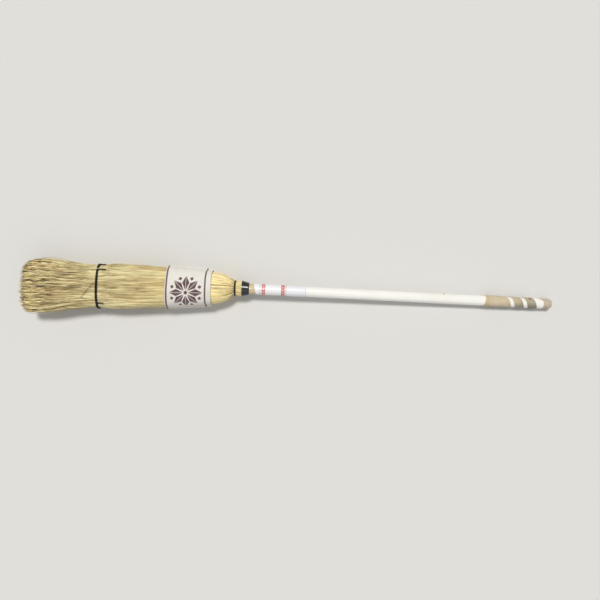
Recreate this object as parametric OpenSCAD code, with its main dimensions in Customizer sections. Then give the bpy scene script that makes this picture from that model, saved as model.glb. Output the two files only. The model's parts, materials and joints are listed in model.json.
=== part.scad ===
// Corn curling broom, lying on the back of its sleeve.
// Each piece is drawn along the broom's own axis: the neck is at x = 0, the butt of the handle is
// at +x, the tips of the corn are at -x, the front of the head faces +z. lay() then sets the
// broom down, so that its butt and the underside of its head touch z = 0.

/* [Handle] */
// Diameter of the bare dowel
handle_d = 22.2; // [20:0.1:25]
// Length of the handle from the neck to its butt
handle_out = 690; // [560:1:850]
// Length of the handle inside the head
handle_in = 120; // [90:1:150]
// Length of the pointed end inside the head
point_len = 34; // [20:1:50]
// Diameter at the end of the point
point_d = 9; // [6:0.5:14]
// Radius of the rounded butt
butt_round = 7; // [3:0.5:9]
// Straight length of bare wood between the paint and the rounded butt
butt_bare = 14; // [12:0.5:40]
// Thickness of the paint coats
paint_t = 0.2; // [0.16:0.01:0.3]

/* [Head] */
// Length of the corn from the neck to the trimmed tips
head_len = 440; // [400:1:480]
// Length of the rounded shoulder, from the neck to the sleeve
shoulder_len = 46; // [35:1:60]
// Width of the corn at the end of the shoulder
shoulder_w = 69; // [60:0.5:80]
// Thickness of the corn at the end of the shoulder
shoulder_t = 61; // [50:0.5:66]
// Width of the corn where it leaves the sleeve
body_w = 85.5; // [78:0.5:95]
// Thickness of the corn where it leaves the sleeve
body_t = 65; // [56:0.5:72]
// Width of the blade of corn around the lower twine, before the twine pulls it in
blade_w = 98; // [90:0.5:108]
// Thickness of the blade around the lower twine, before the twine pulls it in
blade_t = 53; // [44:0.5:60]
// Distance from the neck to where the blade has its full width
blade_at = 240; // [200:1:255]
// Distance from the neck to where the tips begin to flare
flare_at = 327; // [310:1:350]
// Length over which the tips flare
flare_len = 58; // [35:1:70]
// Width of the flared tips
tip_w = 115.5; // [104:0.5:130]
// Thickness of the flared tips
tip_t = 64; // [50:0.5:72]
// How far the tips hang below the broom's axis
tip_sag = 5; // [0:0.5:8]
// How far the tips have set to one side of the broom's axis
tip_set = 16; // [0:0.5:20]
// Squareness of the head's section, where 2 is an ellipse
squareness = 2.35; // [2:0.05:3]

/* [Layers of corn] */
// Thickness of the inside corn around the handle at the neck
inside_neck_t = 2.3; // [2:0.1:3]
// Thickness of the shoulder corn at the neck
shoulder_neck_t = 1.4; // [1:0.1:2]
// Thickness of the cover corn at the neck
cover_neck_t = 2.2; // [2:0.1:3]
// Thickness of the cover stalks where they end on the handle
cover_end_t = 1.4; // [1.2:0.1:2]
// Width of each shoulder bundle in the blade
shoulder_corn_w = 12; // [8:0.5:14]
// Thickness of the shoulder corn over the inside corn in the blade
shoulder_corn_t = 5; // [3:0.5:6]
// Thickness of the cover corn in the blade
cover_corn_t = 8; // [6:0.5:10]
// Length of the inside corn's stalks up the handle
inside_stalks = 8; // [7:0.5:10]
// Length of the shoulder corn's stalks up the handle
shoulder_stalks = 15; // [14:0.5:18]

/* [Wire, tape and tacks] */
// Diameter of the binding wire
wire_d = 1; // [0.8:0.05:1.1]
// Length of the bare stalks and the neck wire, from the neck to the neck tape
stalk_band = 16.5; // [14:0.5:20]
// Length of the neck tape up the handle
neck_tape_len = 15.7; // [12:0.1:22]
// Thickness of the neck tape
neck_tape_t = 0.5; // [0.3:0.05:0.8]
// Diameter of the shanks of the tack and the brad
tack_d = 1.2; // [1:0.1:1.6]
// Length of the shanks of the tack and the brad
tack_len = 8; // [6:0.5:10]
// Diameter of the tack's head
tack_head_d = 3; // [2.4:0.1:4]
// Thickness of the tack's head
tack_head_t = 0.6; // [0.4:0.1:1]

/* [Twine] */
// Diameter of the lower twine
twine_d = 2.3; // [1.6:0.1:3]
// Distance of the lower twine from the neck
twine_at = 285.5; // [260:0.5:310]
// How much the lower twine narrows the blade
twine_pinch_w = 6; // [2:0.5:10]
// How much the lower twine thins the blade
twine_pinch_t = 9; // [4:0.5:14]
// Length of the pinched corn on each side of the lower twine
twine_pinch_len = 17; // [10:1:25]
// Length of the single strands that run back from the lower twine
strand_len = 15; // [8:1:20]
// Diameter of the upper twine, under the sleeve
upper_twine_d = 1.6; // [1.2:0.1:2]
// Distance between the sleeve's edge and the nearest row of upper twine
upper_twine_in = 26; // [15:1:32]

/* [Sleeve] */
// Length of the sleeve along the broom
sleeve_len = 97; // [80:1:115]
// Thickness of the sleeve's cloth
cloth_t = 1; // [0.6:0.1:1.5]
// Width of the seam tabs at the end of the sleeve nearer the neck
near_tab_w = 4.4; // [3:0.1:6]
// Width of the seam tabs at the end of the sleeve nearer the tips
far_tab_w = 2.6; // [2.4:0.1:5]
// Diameter of the seam thread
thread_d = 0.6; // [0.4:0.05:0.8]
// Length of one seam stitch
stitch_len = 3.2; // [2:0.1:5]
// Gap between two seam stitches
stitch_gap = 1.6; // [1:0.1:3]

/* [Labels and grip tape] */
// Distance from the neck to the start of the banded label
banded_label_at = 44.3; // [40:0.5:60]
// Length of the banded label
banded_label_len = 67.5; // [50:0.5:80]
// Slant of the banded label's first edge
label_slant = 15; // [0:1:30]
// Length of the plain label
plain_label_len = 41; // [30:0.5:55]
// Gap between the two labels
label_gap = 0.5; // [0.2:0.1:2]
// Thickness of the labels
label_t = 0.2; // [0.1:0.05:0.3]
// Width of the grip tape, measured along the handle
grip_tape_w = 20; // [16:0.2:24]
// Thickness of the grip tape
grip_tape_t = 0.5; // [0.4:0.05:0.7]
// Length of the stretch that the grip tape covers without a gap
grip_wrap_len = 44; // [30:1:80]
// Distance that the open turns advance along the handle in one turn
grip_pitch = 28.4; // [25:0.1:34]
// Painted length between the last open turn and the bare wood
grip_end_gap = 17; // [10:0.5:25]

/* [Fits] */
// Clearance between pieces that lie on each other
fit = 0.1; // [0.05:0.01:0.15]
// Clearance of soft pieces over the corn
soft_fit = 0.3; // [0.2:0.05:0.4]

/* [Hidden] */
$fn = 64;

// Section of the head: facets around it, and facets around a wire's turn
sides = 32;
turn_sides = 24;
handle_r = handle_d / 2;
paint_r = handle_r + paint_t;
groove = wire_d + 4 * fit;

// Neck radii of the surfaces between the layers of corn
inside_r = handle_r + inside_neck_t;
shoulder_r = inside_r + shoulder_neck_t;
neck_r = shoulder_r + cover_neck_t;
stalk_end_r = handle_r + cover_end_t;
tape_end = stalk_band + neck_tape_len;
shoulder_fullness = 2.2;

// Landmarks down the head, as distances from the neck
sleeve_near = shoulder_len;
sleeve_far = shoulder_len + sleeve_len;
twine_land = 1.5 * twine_d + 3 * fit;
upper_near = sleeve_near + upper_twine_in;
upper_far = sleeve_far - upper_twine_in;
upper_land = upper_twine_d + 3 * fit;
upper_sink = upper_twine_d + 2 * fit;

// Stations of the rings, as distances from the neck; every layer shares them
function land_edges(s) = [s - upper_land - fit, s - upper_land, s + upper_land, s + upper_land + fit];
sleeve_ribs = concat([sleeve_near], land_edges(upper_near), land_edges(upper_far), [sleeve_far]);
pinch_end = twine_at + 2 * twine_pinch_len;
ribs = concat(
    [for (u = [0, 0.07, 0.16, 0.29, 0.45, 0.7]) u * shoulder_len],
    sleeve_ribs,
    [for (u = [0.25, 0.6]) mix(sleeve_far, twine_at - 2 * twine_pinch_len, u)],
    [for (u = [-2, -1.4, -0.9, -0.5]) twine_at + u * twine_pinch_len],
    [twine_at - twine_land, twine_at + twine_land],
    [for (u = [0.5, 0.9, 1.4, 2]) twine_at + u * twine_pinch_len],
    [for (u = [0.2, 0.4, 0.6, 0.8, 1]) mix(pinch_end, head_len, u)]
);

// Half width (c = 1) and half thickness (c = 2) of the head past its shoulder
outline = [
    [shoulder_len, shoulder_w / 2, shoulder_t / 2],
    [sleeve_far, body_w / 2, body_t / 2],
    [blade_at, blade_w / 2, blade_t / 2],
    [flare_at, blade_w / 2, blade_t / 2],
    [flare_at + flare_len, tip_w / 2, tip_t / 2],
    [head_len, tip_w / 2, tip_t / 2]
];

function clamp(u) = min(1, max(0, u));
function mix(a, b, u) = a + (b - a) * u;
function gradient(k, i, c) =
    let (p = max(0, i - 1), q = min(len(k) - 1, i + 1)) (k[q][c] - k[p][c]) / (k[q][0] - k[p][0]);
function span(k, s, i = 0) = i >= len(k) - 2 || s < k[i + 1][0] ? i : span(k, s, i + 1);
function curve(k, s, c) =
    let (i = span(k, s), h = k[i + 1][0] - k[i][0], u = clamp((s - k[i][0]) / h))
    k[i][c] * (1 + 2 * u) * (1 - u) * (1 - u) + k[i + 1][c] * u * u * (3 - 2 * u)
    + h * u * (1 - u) * (gradient(k, i, c) * (1 - u) - gradient(k, i + 1, c) * u);

// Size of the head at distance s from the neck: the shoulder, then the outline
function swell(s) = 1 - pow(1 - clamp(s / shoulder_len), shoulder_fullness);
function head_size(s, c) =
    s < shoulder_len ? mix(neck_r, outline[0][c], swell(s)) : curve(outline, s, c);
function pinch(s) =
    let (u = max(0, abs(s - twine_at) - twine_land) / twine_pinch_len) exp(-u * u * 1.6);
function dent(s) =
    min(abs(s - upper_near), abs(s - upper_far)) < upper_land + fit / 2 ? upper_sink : 0;
function skin_w(s) = head_size(s, 1) - twine_pinch_w / 2 * pinch(s) - dent(s);
function skin_t(s) = head_size(s, 2) - twine_pinch_t / 2 * pinch(s) - dent(s);

// Distance from the corn to the outer edge of the sleeve's seam tabs
function tab_w(s) = mix(near_tab_w, far_tab_w, (s - sleeve_near) / sleeve_len);
function tab_end(s) = soft_fit + cloth_t + tab_w(s);

// Each layer thickens from its neck thickness to its full one; the inside corn fills the rest
function layer(neck_t, full_t, s, over) = mix(neck_t, full_t, clamp(s / over));
function cover_t(s, pinched) =
    layer(cover_neck_t, cover_corn_t + pinched / 2, s, shoulder_len);
function under_cover_w(s) = head_size(s, 1) - cover_t(s, twine_pinch_w);
function under_cover_t(s) = head_size(s, 2) - cover_t(s, twine_pinch_t);
function inside_w(s) = under_cover_w(s) - layer(shoulder_neck_t, shoulder_corn_w, s, sleeve_far);
function inside_t(s) = under_cover_t(s) - layer(shoulder_neck_t, shoulder_corn_t, s, sleeve_far);

// The head leans to one side from the neck on: solids are drawn straight and moved by lean(s),
// and a solid that is mirrored afterwards leans to the other side (side = -1)
function lean(s) = -tip_set * clamp(s / head_len);
function leaning(points, side = 1) = [for (p = points) p + [0, side * lean(-p.x), 0]];

// The centre of the section sinks towards the tips; its corners fill out past the neck
function sag(s) = -tip_sag * pow(clamp((s - sleeve_far) / (head_len - sleeve_far)), 2);
function power(s) = 2 / mix(2, squareness, clamp(s / sleeve_near));
function bend(v, p) = sign(v) * pow(abs(v), p);
function rim(s, w, t, angle, face = 1) =
    [-s, w * bend(cos(angle), power(s)), face * sag(s) + t * bend(sin(angle), power(s))];
function outward(s, w, t, angle) =
    let (
        q = 2 - power(s),
        v = [0, bend(cos(angle), q) / w, bend(sin(angle), q) / t]
    ) v / norm(v);

// Rings over half of the head. The front (face = 1) and the back (face = -1, drawn upside down)
// meet half way up its thickness, and the left and right sides meet at y = 0
function steps(a, b) = [for (i = [0:sides / 2]) mix(a, b, i / (sides / 2))];
function face_ring(s, w, t, face) = [
    for (a = steps(0, 180))
        let (p = rim(s, w, t, a, face)) [p.x, p.y, max(p.z, face * sag(s) + fit / 2)]
];
function left_ring(s, w, t) =
    [for (a = steps(-90, 90)) let (p = rim(s, w, t, a)) [p.x, max(p.y, fit / 2), p.z]];
function neck_ring(x, r, from) = [
    for (a = steps(from, from + 180))
        let (p = [x, r * cos(a), r * sin(a)])
        from == 0 ? [p.x, p.y, max(p.z, fit / 2)] : [p.x, max(p.y, fit / 2), p.z]
];
function head_ring(s, w, t) = [for (i = [0:sides - 1]) rim(s, w, t, -i * 360 / sides)];
function stalk_ring(x, r) =
    [for (i = [0:sides - 1]) let (a = -i * 360 / sides) [x, r * cos(a), r * sin(a)]];

function reversed(v) = [for (i = [len(v) - 1:-1:0]) v[i]];
function joined(lists) = [for (v = lists, e = v) e];

// Two triangles over four points. The diagonal starts at the point nearer to y = 0, so layers
// that lie on each other, and mirrored ones, are cut alike
function quad(p, a, b, c, d, turned = false) =
    let (f = abs(p[a].y) < abs(p[b].y) ? [[a, b, c], [a, c, d]] : [[b, c, d], [b, d, a]])
    turned ? [reversed(f[0]), reversed(f[1])] : f;

// A half shell of m rings of n points over its outside and as many over its inside, which run
// from the neck to the tips
module half_shell(outer, inner, side = 1) {
    n = len(outer[0]);
    m = len(outer);
    base = m * n;
    far = base - n;
    points = joined(concat(outer, inner));
    faces = joined(concat(
        [for (j = [0:m - 2], i = [0:n - 2], k = [0, base])
            let (a = k + j * n + i) quad(points, a, a + 1, a + n + 1, a + n, k > 0)],
        [for (i = [0:n - 2], k = [0, far])
            quad(points, k + i + 1, k + i, base + k + i, base + k + i + 1, k > 0)],
        [for (j = [0:m - 2], i = [0, n - 1])
            let (a = j * n + i) quad(points, a, a + n, base + a + n, base + a, i > 0)]
    ));
    polyhedron(leaning(points, side), faces, convexity = 10);
}

// A solid lofted through closed rings
module loft(rings) {
    n = len(rings[0]);
    m = len(rings);
    points = joined(rings);
    polyhedron(leaning(points), concat(
        joined([for (j = [0:m - 2], i = [0:n - 1])
            let (a = j * n + i, b = j * n + (i + 1) % n) quad(points, b, a, a + n, b + n)]),
        [[for (i = [0:n - 1]) i]], [[for (i = [n - 1:-1:0]) (m - 1) * n + i]]
    ), convexity = 6);
}

// A round strand of radius r; each step is a point and the two directions across the strand
module strand(route, r, facets = 6) {
    loft([for (q = route)
        [for (i = [0:facets - 1])
            let (a = i * 360 / facets) q[0] + r * cos(a) * q[1] + r * sin(a) * q[2]]]);
}

// Turns of wire around the neck from x = from to x = to, over a groove of radii r0 and r1
module wire_turns(from, to, turns, r0, r1) {
    lift = wire_d / 2 + fit;
    stretch = 1 / cos(180 / turn_sides);
    strand([for (i = [0:turns * turn_sides])
        let (
            u = i / (turns * turn_sides), a = 90 + i * 360 / turn_sides,
            n = [0, cos(a), sin(a)]
        ) [[mix(from, to, u), 0, 0] + n * (mix(r0, r1, u) + lift) * stretch, [1, 0, 0], n]
    ], wire_d / 2);
}

// Twine laid round the head at distance s, over corn of half width w and half thickness t
module twine_turns(s, w, t, d, turns) {
    lift = d / 2 + fit;
    strand([for (i = [0:turns * sides])
        let (u = i / sides - turns / 2, a = -90 + i * 360 / sides)
        [
            rim(s, w + lift, t + lift, a) + [u * (d + fit), 0, 0],
            [1, 0, 0], outward(s, w, t, a)
        ]
    ], d / 2);
}

// How the broom lies: the tilt at which the butt and the lowest point of the head share a floor
rest_points = concat(
    [for (s = sleeve_ribs) [s, head_size(s, 2) - sag(s) + soft_fit + cloth_t]],
    [for (s = ribs) [s, skin_t(s) - sag(s)]]
);
function tilt_for(p) =
    let (run = handle_out - butt_round + p[0], rise = p[1] - handle_r + butt_round)
    atan2(rise, run) - asin(butt_round / norm([run, rise]));
tilt = max([for (p = rest_points) tilt_for(p)]);
floor_at = (handle_out - butt_round) * sin(tilt) + (handle_r - butt_round) * cos(tilt) + butt_round;
x_high = (handle_out - butt_round) * cos(tilt) + (handle_r - butt_round) * sin(tilt) + butt_round;
x_low = -head_len * cos(tilt) - (skin_t(head_len) - sag(head_len)) * sin(tilt);
y_high = max(concat(
    [for (s = ribs) skin_w(s) + lean(s)],
    [for (s = sleeve_ribs) head_size(s, 1) + tab_end(s) + lean(s)]
));
y_low = min(concat(
    [for (s = ribs) lean(s) - skin_w(s)],
    [for (s = sleeve_ribs) lean(s) - head_size(s, 1) - tab_end(s)]
));

module lay() {
    translate([-(x_high + x_low) / 2, -(y_high + y_low) / 2, floor_at]) rotate([0, tilt, 0])
        children();
}
module along_x() {
    rotate([0, 90, 0]) children();
}
module tube(from, to, r_in, r_out) {
    translate([from, 0, 0]) along_x() rotate_extrude()
        translate([r_in, 0]) square([r_out - r_in, to - from]);
}

// Handle
brad_at = 3.5;
tack_gap = 0.6;
tack_at = tape_end + tack_gap + tack_head_d / 2;
paint_start = banded_label_at + handle_r * tan(label_slant) + fit;
paint_end = handle_out - butt_round - butt_bare;

module tack_hole(x) {
    translate([x, 0, handle_r - tack_len]) cylinder(h = tack_len + paint_t + 1, d = tack_d + 2 * fit);
}
module handle_blank(extra) {
    along_x() rotate_extrude() polygon([
        [0, -handle_in - extra], [point_d / 2 + extra, -handle_in - extra],
        [handle_r + extra, point_len - handle_in], [handle_r + extra, 0], [0, 0]
    ]);
}
module handle() {
    color("oldlace") lay() difference() {
        union() {
            handle_blank(0);
            along_x() cylinder(h = handle_out - butt_round, r = handle_r);
            translate([paint_start, 0, 0]) along_x() cylinder(h = paint_end - paint_start, r = paint_r);
            translate([handle_out - butt_round, 0, 0]) along_x() rotate_extrude() {
                square([handle_r - butt_round, butt_round]);
                translate([handle_r - butt_round, 0]) intersection() {
                    circle(r = butt_round);
                    square(butt_round);
                }
            }
        }
        tack_hole(brad_at);
        tack_hole(tack_at);
    }
}
module start_brad() {
    color("silver") lay() translate([brad_at, 0, handle_r - tack_len + fit])
        cylinder(h = tack_len - 2 * fit, d = tack_d);
}
module end_tack() {
    color("silver") lay() translate([tack_at, 0, handle_r - tack_len + fit]) {
        cylinder(h = tack_len, d = tack_d);
        translate([0, 0, tack_len]) cylinder(h = tack_head_t, d = tack_head_d);
    }
}

// Corn: the wires lie in grooves around the stalks
bare_stalk = 1;
tape_lap = 1.5;
cover_stalks = tape_end - tape_lap;
inside_wire_from = bare_stalk;
inside_wire_to = inside_stalks - bare_stalk;
shoulder_wire_from = inside_stalks + 2 * bare_stalk;
shoulder_wire_to = shoulder_stalks - bare_stalk;
cover_wire_from = max(stalk_band, shoulder_stalks) + 2 * bare_stalk;
cover_wire_to = cover_stalks - 4 * bare_stalk;
neck_wire_to = 4.3;
tape_seat_r = neck_r - neck_tape_t - fit;
bore_r = handle_r + 3 * fit;

function cover_r(x) =
    x < stalk_band ? neck_r
    : mix(tape_seat_r, stalk_end_r, (x - stalk_band) / (cover_stalks - stalk_band));
function groove_at(x, from, to) = x >= from && x <= to ? groove : 0;
// Inner radius of a layer: over the layer inside it, which ends at x = stalks, or over the handle
function hole_r(x, stalks, r) = x > stalks + fit ? bore_r : r + fit;
function sorted(v) =
    len(v) < 2 ? v
    : let (p = v[0]) concat(
        sorted([for (e = v) if (e > p) e]), [p], sorted([for (e = v) if (e < p) e]));

module inside_corn() {
    stalks = [
        for (x = [
            inside_stalks, inside_wire_to + fit, inside_wire_to, inside_wire_from,
            inside_wire_from - fit
        ]) stalk_ring(x, inside_r - groove_at(x, inside_wire_from, inside_wire_to))
    ];
    color("burlywood") lay() difference() {
        loft(concat(stalks, [for (s = ribs) head_ring(s, inside_w(s), inside_t(s))]));
        handle_blank(fit);
        tube(-fit, inside_stalks + 1, 0, handle_r + fit);
    }
}
module left_bundle(side = 1) {
    stalks = sorted([
        shoulder_stalks, shoulder_wire_to + fit, shoulder_wire_to, shoulder_wire_from,
        shoulder_wire_from - fit, inside_stalks + 1, inside_stalks + fit
    ]);
    half_shell(
        concat(
            [for (x = stalks) neck_ring(
                x, shoulder_r - groove_at(x, shoulder_wire_from, shoulder_wire_to), -90)],
            [for (s = ribs) left_ring(s, under_cover_w(s), under_cover_t(s))]
        ),
        concat(
            [for (x = stalks) neck_ring(x, hole_r(x, inside_stalks, inside_r), -90)],
            [for (s = ribs) left_ring(s, inside_w(s) + fit, inside_t(s) + fit)]
        ),
        side
    );
}
module cover_half(face) {
    stalks = sorted([
        cover_stalks, cover_wire_to + fit, cover_wire_to, cover_wire_from,
        cover_wire_from - fit, stalk_band, stalk_band - fit, shoulder_stalks + 1,
        shoulder_stalks + fit, neck_wire_to + fit, neck_wire_to, 2 * fit
    ]);
    half_shell(
        concat(
            [for (x = stalks) neck_ring(
                x,
                cover_r(x) - groove_at(x, cover_wire_from, cover_wire_to)
                    - groove_at(x, 0, neck_wire_to), 0
            )],
            [for (s = ribs) face_ring(s, skin_w(s), skin_t(s), face)]
        ),
        concat(
            [for (x = stalks) neck_ring(x, hole_r(x, shoulder_stalks, shoulder_r), 0)],
            [for (s = ribs) face_ring(s, under_cover_w(s) + fit, under_cover_t(s) + fit, face)]
        )
    );
}
module left_shoulder_corn() {
    color("khaki") lay() left_bundle();
}
module right_shoulder_corn() {
    color("khaki") lay() mirror([0, 1, 0]) left_bundle(-1);
}
module front_cover_corn() {
    color("wheat") lay() cover_half(1);
}
module back_cover_corn() {
    color("wheat") lay() mirror([0, 0, 1]) cover_half(-1);
}

// Wires and tape around the stalks
module wire_in_groove(from, to, turns, r0, r1) {
    margin = wire_d / 2 + fit;
    u = margin / (to - from);
    wire_turns(
        from + margin, to - margin, turns, mix(r0, r1, u) - groove, mix(r1, r0, u) - groove);
}
module inside_wire() {
    color("silver") lay()
        wire_in_groove(inside_wire_from, inside_wire_to, 4, inside_r, inside_r);
}
module shoulder_wire() {
    color("silver") lay()
        wire_in_groove(shoulder_wire_from, shoulder_wire_to, 2, shoulder_r, shoulder_r);
}
module cover_wire() {
    color("silver") lay() wire_in_groove(
        cover_wire_from, cover_wire_to, 6, cover_r(cover_wire_from), cover_r(cover_wire_to));
}
module neck_wire() {
    color("black") lay() wire_in_groove(0, neck_wire_to, 3, neck_r, neck_r);
}
module neck_tape() {
    seat = [
        [tape_seat_r + fit, stalk_band + fit], [stalk_end_r + fit, cover_stalks + fit],
        [handle_r + fit, tape_end - neck_tape_t], [handle_r + fit, tape_end]
    ];
    top = [
        [handle_r + fit + neck_tape_t, tape_end],
        [stalk_end_r + fit + neck_tape_t, cover_stalks + fit + neck_tape_t / 2],
        [tape_seat_r + fit + neck_tape_t, stalk_band + fit]
    ];
    color("black") lay() along_x() rotate_extrude() polygon(concat(seat, top));
}

// Twine
module upper_twine(s) {
    color("black") lay() twine_turns(s, skin_w(s), skin_t(s), upper_twine_d, 1);
}
module upper_twine_near() {
    upper_twine(upper_near);
}
module upper_twine_far() {
    upper_twine(upper_far);
}
module lower_twine() {
    color("black") lay() twine_turns(twine_at, skin_w(twine_at), skin_t(twine_at), twine_d, 2);
}

// One strand that runs back from the lower twine along the corn's side, at an angle from +y
module side_strand(angle, len) {
    lift = twine_d / 4 + soft_fit;
    start = 1.5 * twine_d;
    strand([for (u = [0:3])
        let (
            s = twine_at - start - (len - start) * u / 3,
            n = outward(s, skin_w(s), skin_t(s), angle)
        ) [rim(s, skin_w(s) + lift, skin_t(s) + lift, angle), n, cross([1, 0, 0], n)]
    ], twine_d / 4);
}
module lower_twine_strands() {
    color("black") lay() {
        side_strand(8, strand_len);
        side_strand(41, strand_len * 1.25);
        side_strand(146, strand_len * 0.9);
    }
}

// Sleeve: two panels sewn together through the tabs at their sides
module panel() {
    function panel_ring(s, lift, floor_z) =
        let (
            w = head_size(s, 1), t = head_size(s, 2), y = w + tab_end(s),
            arch = [for (a = steps(0, 180))
                let (p = rim(s, w + lift, t + lift, a)) [p.x, p.y, max(p.z, floor_z)]]
        ) concat([[-s, y, floor_z]], arch, [[-s, -y, floor_z]]);
    half_shell(
        [for (s = sleeve_ribs) panel_ring(s, soft_fit + cloth_t, fit / 2 + cloth_t)],
        [for (s = sleeve_ribs) panel_ring(s, soft_fit, fit / 2)]
    );
}
module sleeve_front() {
    color("gainsboro") lay() panel();
}
module sleeve_back() {
    color("gainsboro") lay() mirror([0, 0, 1]) panel();
}
module seam_thread(side = 1) {
    step = stitch_len + stitch_gap;
    count = floor((sleeve_len - step) / step);
    margin = (sleeve_len - count * step + stitch_gap) / 2;
    z = fit / 2 + cloth_t + thread_d / 2 + fit;
    for (i = [0:count - 1], face = [-1, 1]) {
        s = sleeve_near + margin + i * step;
        middle = s + stitch_len / 2;
        y = head_size(middle, 1) + tab_end(middle) - tab_w(middle) / 2 + side * lean(middle);
        translate([-s - stitch_len, y, face * z]) along_x()
            cylinder(h = stitch_len, d = thread_d, $fn = 16);
    }
}
module left_seam_thread() {
    color("white") lay() seam_thread();
}
module right_seam_thread() {
    color("white") lay() mirror([0, 1, 0]) seam_thread(-1);
}

// Labels and grip tape on the painted handle
seat_r = paint_r + fit;
plain_label_at = banded_label_at + banded_label_len + label_gap;
module banded_label() {
    reach = seat_r + label_t + 1;
    color("white") lay() difference() {
        tube(
            banded_label_at - reach * tan(label_slant), banded_label_at + banded_label_len,
            seat_r, seat_r + label_t
        );
        translate([banded_label_at, 0, 0]) rotate([0, 0, label_slant])
            translate([-2 * reach, -2 * reach, -reach]) cube([2 * reach, 4 * reach, 2 * reach]);
    }
}
module plain_label() {
    color("aliceblue") lay()
        tube(plain_label_at, plain_label_at + plain_label_len, seat_r, seat_r + label_t);
}

// The grip tape's open turns start under its closed stretch; last_left is the near edge of the
// last turn on top of the handle
last_left = paint_end - grip_end_gap - grip_tape_w;
grip_from = last_left - 2 * grip_pitch + grip_tape_w / 2 - grip_wrap_len;
module grip_tape() {
    inset = fit / 5;
    grip_sides = 40;
    r_in = (seat_r + inset) / cos(180 / grip_sides);
    r_out = seat_r + grip_tape_t - 2 * inset;
    first = -2.75 * grip_sides;
    last = 0.35 * grip_sides;
    color("tan") lay() union() {
        tube(grip_from, grip_from + grip_wrap_len, seat_r, seat_r + grip_tape_t);
        loft([for (i = [first:last])
            let (
                a = 90 + i * 360 / grip_sides, x = last_left + i / grip_sides * grip_pitch,
                c = cos(a), d = sin(a)
            ) [
                [x, r_in * c, r_in * d], [x + grip_tape_w, r_in * c, r_in * d],
                [x + grip_tape_w, r_out * c, r_out * d], [x, r_out * c, r_out * d]
            ]
        ]);
    }
}

handle();
inside_corn();
left_shoulder_corn();
right_shoulder_corn();
front_cover_corn();
back_cover_corn();
start_brad();
inside_wire();
shoulder_wire();
cover_wire();
end_tack();
neck_wire();
neck_tape();
upper_twine_near();
upper_twine_far();
lower_twine();
lower_twine_strands();
sleeve_front();
sleeve_back();
left_seam_thread();
right_seam_thread();
banded_label();
plain_label();
grip_tape();
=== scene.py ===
"""A corn curling broom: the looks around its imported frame. Lengths are metres in the model's frame,
and a name that ends in _MM or _mm is in millimetres. Broom coordinates have their origin at the neck,
x along the handle towards the butt, y across the head and z out of its front; the head runs down to
x = -HEAD_LEN. s is a distance from the neck down the head."""

import json
import math

import bmesh
import bpy
import numpy as np
from mathutils import Matrix, Vector
from mathutils.bvhtree import BVHTree


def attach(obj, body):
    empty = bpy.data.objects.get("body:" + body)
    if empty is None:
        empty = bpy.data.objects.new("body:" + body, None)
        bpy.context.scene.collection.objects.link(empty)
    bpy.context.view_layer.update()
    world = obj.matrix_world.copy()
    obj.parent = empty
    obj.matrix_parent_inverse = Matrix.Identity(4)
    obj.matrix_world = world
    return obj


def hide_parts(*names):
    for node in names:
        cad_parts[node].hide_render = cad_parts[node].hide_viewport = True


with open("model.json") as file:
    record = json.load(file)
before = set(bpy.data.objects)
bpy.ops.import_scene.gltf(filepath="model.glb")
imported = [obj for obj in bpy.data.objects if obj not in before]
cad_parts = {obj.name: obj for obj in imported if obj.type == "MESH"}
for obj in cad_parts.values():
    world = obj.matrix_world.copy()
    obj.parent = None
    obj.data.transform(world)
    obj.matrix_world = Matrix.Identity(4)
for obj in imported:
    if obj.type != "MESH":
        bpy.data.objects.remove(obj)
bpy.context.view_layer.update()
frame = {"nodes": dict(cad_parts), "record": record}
scene = bpy.context.scene

MM = 0.001
TURN = 2 * math.pi
QUARTER = math.pi / 2


def clamp(x):
    return np.clip(x, 0, 1)


# ---- where things are on the broom
mounts = {m["name"]: m for m in frame["record"]["mounts"]}
NECK_TO_BUTT_MOUNT = 676 * MM
LABEL_T = 0.2 * MM

along = Vector(mounts["butt_end"]["axis"]).normalized()
across = Vector((0, 1, 0))
neck = Vector(mounts["butt_end"]["pos_m"]) - along * NECK_TO_BUTT_MOUNT
LAY = Matrix.Translation(neck) @ Matrix((along, across, along.cross(across))).transposed().to_4x4()
UNLAY = LAY.inverted()
tips = UNLAY @ Vector(mounts["tips"]["pos_m"])
HEAD_LEN, LEAN, SAG = -tips.x, tips.y, tips.z


def reach(node):
    """Lowest and highest corner of a CAD node, in broom coordinates."""
    places = [UNLAY @ v.co for v in frame["nodes"][node].data.vertices]
    return tuple(Vector(f(p[i] for p in places) for i in range(3)) for f in (min, max))


sleeve_lo, sleeve_hi = reach("sleeve_front")
SLEEVE_NEAR, SLEEVE_FAR = -sleeve_hi.x, -sleeve_lo.x
SLEEVE_LEN = SLEEVE_FAR - SLEEVE_NEAR
twine_lo, twine_hi = reach("lower_twine")
TWINE_AT = -(twine_lo.x + twine_hi.x) / 2
PAINT_R = reach("plain_label")[1].y - LABEL_T


def lean(s):
    return LEAN * clamp(s / HEAD_LEN)


def sag(s):
    return SAG * clamp((s - SLEEVE_FAR) / (HEAD_LEN - SLEEVE_FAR)) ** 2


# ---- lines of points
def run_along(line):
    """How far along a line each of its points lies."""
    return np.concatenate([[0], np.cumsum(np.linalg.norm(np.diff(line, axis=0), axis=1))])


def points_at(line, run, at):
    """Points of a flat line, at given distances along it."""
    return np.column_stack([np.interp(at, run, line[:, k]) for k in (0, 1)])


def eased(line, times):
    """Smooths a line in place, and keeps its ends."""
    for _ in range(times):
        line[1:-1] = (line[:-2] + 2 * line[1:-1] + line[2:]) / 4
    return line


def unit(way):
    """Directions made one long."""
    return way / np.linalg.norm(way, axis=-1, keepdims=True)


# ---- the skin of the corn
# Points round the corn, and how far out the skin is felt from
RING = 128
OUTSIDE = 200 * MM
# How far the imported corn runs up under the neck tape
UNDER_TAPE = 20 * MM
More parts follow.
